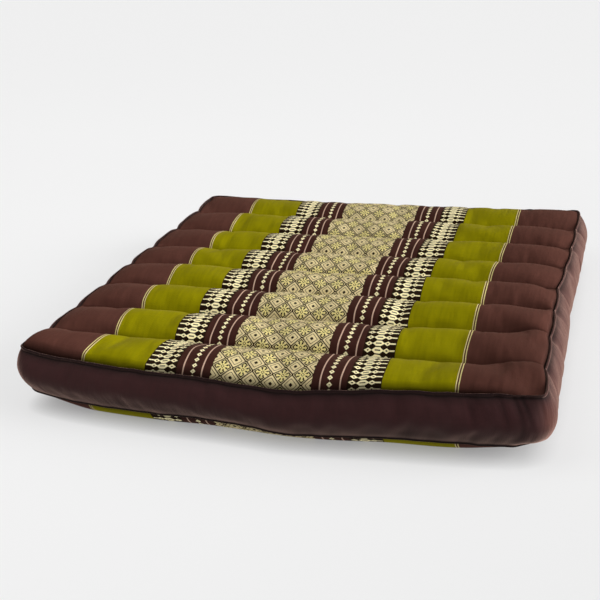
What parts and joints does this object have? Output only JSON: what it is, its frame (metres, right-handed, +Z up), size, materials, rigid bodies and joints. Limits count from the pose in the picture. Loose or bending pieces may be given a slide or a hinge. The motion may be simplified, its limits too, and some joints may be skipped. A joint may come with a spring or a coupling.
{
  "type": "picnic cushion",
  "caption": "Flat square floor cushion, quilted into parallel filled channels, with a woven patterned panel, a plain boxing strip and rolled seam edges.",
  "frame": {"origin": "middle of the cushion's box in plan, on the surface it rests on", "axes": "+Z up out of the quilted top, X along the sewn channels, Y across them, with the bowed edge that faces the viewer at -Y"},
  "size_m": [0.5044, 0.526, 0.0764],
  "materials": {
    "woven_cover": "woven cotton, satin brown with green and cream bands",
    "boxing_cloth": "plain brown cotton",
    "sewing_thread": "dark brown thread"
  },
  "bodies": {
    "root": {"cushion": "woven_cover"}
  },
  "joints": []
}
